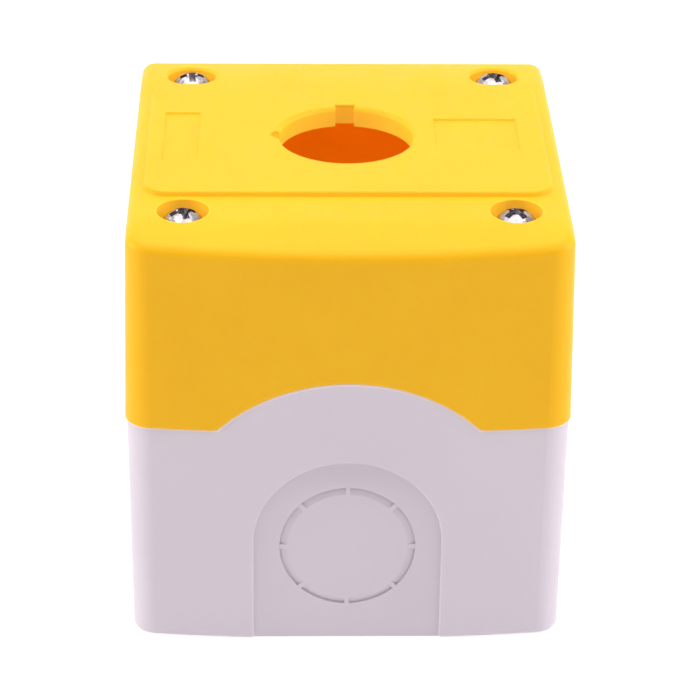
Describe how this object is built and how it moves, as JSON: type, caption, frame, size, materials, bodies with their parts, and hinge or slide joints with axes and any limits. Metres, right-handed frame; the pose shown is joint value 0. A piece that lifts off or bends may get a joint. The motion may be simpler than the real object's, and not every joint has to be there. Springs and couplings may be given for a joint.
{
  "type": "push button enclosure",
  "caption": "Deep yellow cover on a light grey base box, with a keyed control-button hole, flat raised panel, screwed corners and knock-out cable entries.",
  "frame": {"origin": "centre of the base's mounting face", "axes": "+Z out of the cover along the button's axis, +X to the right and -Y towards the nearer cable entry; hung on a wall, +Z points into the room"},
  "size_m": [0.0716, 0.0769, 0.0736],
  "materials": {
    "cover_plastic": "satin moulded thermoplastic, yellow",
    "base_plastic": "satin moulded thermoplastic, light grey",
    "gasket_rubber": "soft black foam rubber",
    "washer_rubber": "black rubber",
    "screw_zinc": "bright zinc-plated steel",
    "insert_brass": "machined brass"
  },
  "bodies": {
    "base": {"base": "base_plastic", "front_knockout": "base_plastic", "back_knockout": "base_plastic", "gasket": "gasket_rubber", "threaded_insert_front_left": "insert_brass", "threaded_insert_front_right": "insert_brass", "threaded_insert_back_left": "insert_brass", "threaded_insert_back_right": "insert_brass"},
    "cover": {"cover": "cover_plastic"},
    "screw_ring_front_left": {"seal_washer_front_left": "washer_rubber"},
    "screw_front_left": {"cover_screw_front_left": "screw_zinc"},
    "screw_ring_front_right": {"seal_washer_front_right": "washer_rubber"},
    "screw_front_right": {"cover_screw_front_right": "screw_zinc"},
    "screw_ring_back_left": {"seal_washer_back_left": "washer_rubber"},
    "screw_back_left": {"cover_screw_back_left": "screw_zinc"},
    "screw_ring_back_right": {"seal_washer_back_right": "washer_rubber"},
    "screw_back_right": {"cover_screw_back_right": "screw_zinc"}
  },
  "joints": [
    {"name": "cover_lift", "type": "slide", "parent": "base", "child": "cover", "axis": [0, 0, 1], "range_m": [0, 0.04]},
    {"name": "screw_rise_front_left", "type": "slide", "parent": "cover", "child": "screw_ring_front_left", "axis": [0, 0, 1], "range_m": [0, 0.008]},
    {"name": "screw_turn_front_left", "type": "hinge", "parent": "screw_ring_front_left", "child": "screw_front_left", "pos_m": [-0.0263, -0.0258, 0.07], "axis": [0, 0, 1], "range_deg": [0, 4115]},
    {"name": "screw_rise_front_right", "type": "slide", "parent": "cover", "child": "screw_ring_front_right", "axis": [0, 0, 1], "range_m": [0, 0.008]},
    {"name": "screw_turn_front_right", "type": "hinge", "parent": "screw_ring_front_right", "child": "screw_front_right", "pos_m": [0.0263, -0.0258, 0.07], "axis": [0, 0, 1], "range_deg": [0, 4115]},
    {"name": "screw_rise_back_left", "type": "slide", "parent": "cover", "child": "screw_ring_back_left", "axis": [0, 0, 1], "range_m": [0, 0.008]},
    {"name": "screw_turn_back_left", "type": "hinge", "parent": "screw_ring_back_left", "child": "screw_back_left", "pos_m": [-0.0263, 0.0294, 0.07], "axis": [0, 0, 1], "range_deg": [0, 4115]},
    {"name": "screw_rise_back_right", "type": "slide", "parent": "cover", "child": "screw_ring_back_right", "axis": [0, 0, 1], "range_m": [0, 0.008]},
    {"name": "screw_turn_back_right", "type": "hinge", "parent": "screw_ring_back_right", "child": "screw_back_right", "pos_m": [0.0263, 0.0294, 0.07], "axis": [0, 0, 1], "range_deg": [0, 4115]}
  ],
  "couplings": [
    {"joint": "screw_turn_front_left", "follows": "screw_rise_front_left", "rad_per_m": 8976},
    {"joint": "screw_turn_front_right", "follows": "screw_rise_front_right", "rad_per_m": 8976},
    {"joint": "screw_turn_back_left", "follows": "screw_rise_back_left", "rad_per_m": 8976},
    {"joint": "screw_turn_back_right", "follows": "screw_rise_back_right", "rad_per_m": 8976}
  ]
}
